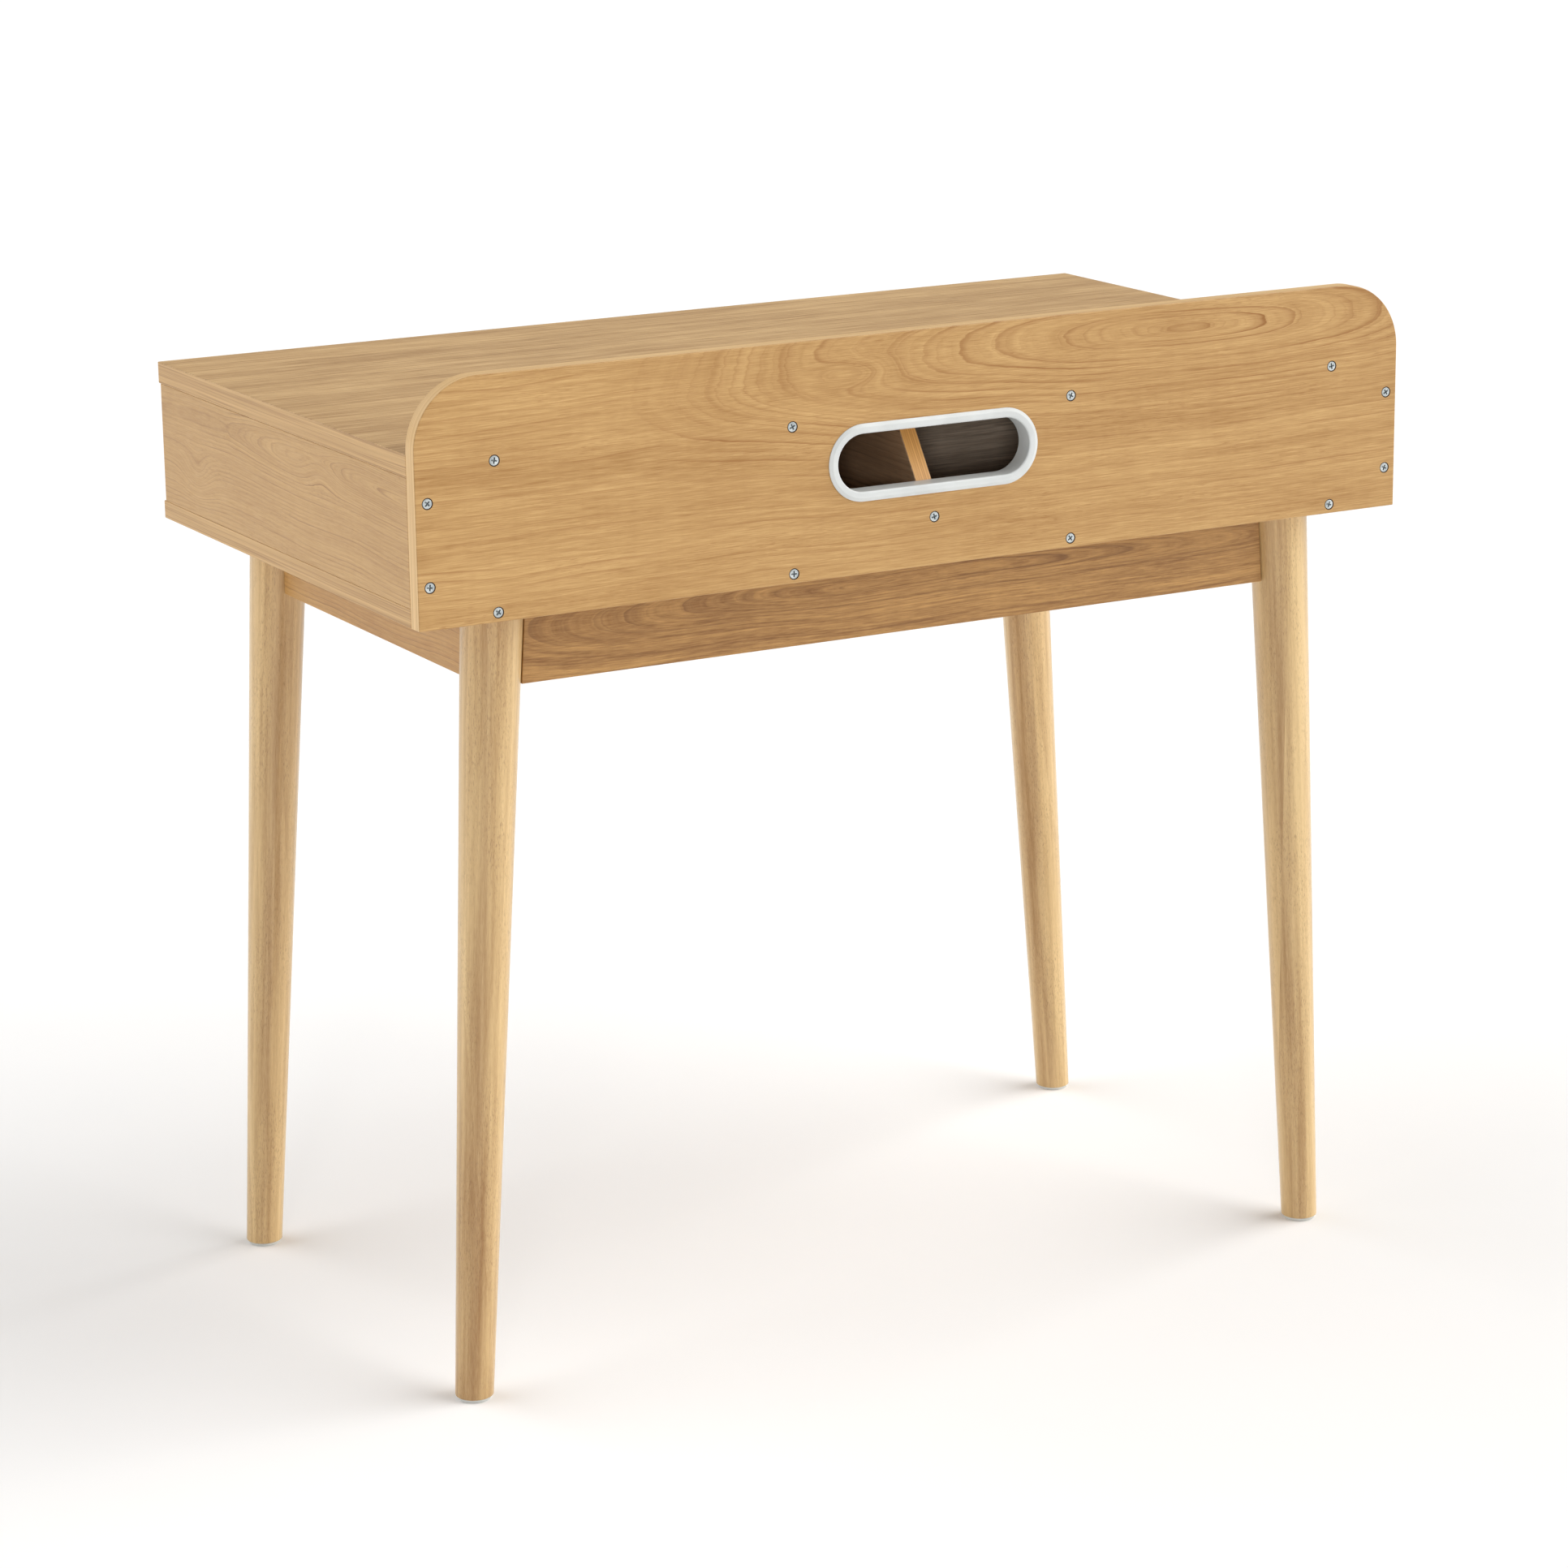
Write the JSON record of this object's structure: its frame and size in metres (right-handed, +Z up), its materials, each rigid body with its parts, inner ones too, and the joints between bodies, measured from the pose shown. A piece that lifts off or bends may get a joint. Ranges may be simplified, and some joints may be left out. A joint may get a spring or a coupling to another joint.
{
  "type": "writing desk with drawers",
  "caption": "Writing desk with inset drawers, a raised rounded back board with a slot cable grommet, and splayed tapered round legs joined by aprons.",
  "frame": {"origin": "on the floor, under the middle of the whole desk from the front of the drawer knobs to the rear face of the cable grommet", "axes": "+Z up, +Y towards the back board, +X to the right of the person who sits at the desk; the drawers open towards -Y"},
  "size_m": [0.9, 0.532, 0.832],
  "materials": {
    "top_laminate": "pale ash or oak grain laminate, satin, grain along the width",
    "side_laminate": "pale wood grain laminate, satin, grain along the depth",
    "front_laminate": "pale wood grain laminate, satin, grain along the width",
    "inner_laminate": "wood grain laminate, satin",
    "back_laminate": "honey maple or cherry grain laminate, satin, grain along the width",
    "rubberwood": "solid rubberwood, clear satin lacquer",
    "drawer_board": "pale foiled board, satin",
    "grommet_plastic": "white moulded plastic, satin",
    "glide_plastic": "light grey plastic",
    "zinc_steel": "zinc plated steel"
  },
  "bodies": {
    "desk": {"top_panel": "top_laminate", "bottom_panel": "side_laminate", "side_panel_left": "side_laminate", "side_panel_right": "side_laminate", "center_divider": "inner_laminate", "back_panel": "back_laminate", "cable_grommet": "grommet_plastic", "back_screw_top_1": "zinc_steel", "back_screw_top_2": "zinc_steel", "back_screw_top_3": "zinc_steel", "back_screw_top_4": "zinc_steel", "back_screw_bottom_1": "zinc_steel", "back_screw_bottom_2": "zinc_steel", "back_screw_bottom_3": "zinc_steel", "back_screw_bottom_4": "zinc_steel", "back_screw_left_upper": "zinc_steel", "back_screw_left_lower": "zinc_steel", "back_screw_right_upper": "zinc_steel", "back_screw_right_lower": "zinc_steel", "back_screw_divider": "zinc_steel", "leg_front_left": "rubberwood", "leg_front_right": "rubberwood", "leg_rear_left": "rubberwood", "leg_rear_right": "rubberwood", "glide_front_left": "glide_plastic", "glide_front_right": "glide_plastic", "glide_rear_left": "glide_plastic", "glide_rear_right": "glide_plastic", "leg_bolt_front_left": "zinc_steel", "leg_bolt_front_right": "zinc_steel", "leg_bolt_rear_left": "zinc_steel", "leg_bolt_rear_right": "zinc_steel", "apron_front": "rubberwood", "apron_rear": "rubberwood", "apron_left": "rubberwood", "apron_right": "rubberwood", "cabinet_runner_left_inner": "zinc_steel", "cabinet_runner_left_outer": "zinc_steel", "cabinet_runner_right_inner": "zinc_steel", "cabinet_runner_right_outer": "zinc_steel"},
    "drawer_left": {"drawer_left_front": "front_laminate", "drawer_left_side_inner": "drawer_board", "drawer_left_side_outer": "drawer_board", "drawer_left_back": "drawer_board", "drawer_left_bottom": "drawer_board", "drawer_left_knob": "rubberwood", "drawer_left_knob_screw": "zinc_steel", "drawer_left_runner_inner": "zinc_steel", "drawer_left_runner_outer": "zinc_steel"},
    "drawer_right": {"drawer_right_front": "front_laminate", "drawer_right_side_inner": "drawer_board", "drawer_right_side_outer": "drawer_board", "drawer_right_back": "drawer_board", "drawer_right_bottom": "drawer_board", "drawer_right_knob": "rubberwood", "drawer_right_knob_screw": "zinc_steel", "drawer_right_runner_inner": "zinc_steel", "drawer_right_runner_outer": "zinc_steel"}
  },
  "joints": [
    {"name": "drawer_left_slide", "type": "slide", "parent": "desk", "child": "drawer_left", "axis": [0, -1, 0], "range_m": [0, 0.21]},
    {"name": "drawer_right_slide", "type": "slide", "parent": "desk", "child": "drawer_right", "axis": [0, -1, 0], "range_m": [0, 0.21]}
  ]
}
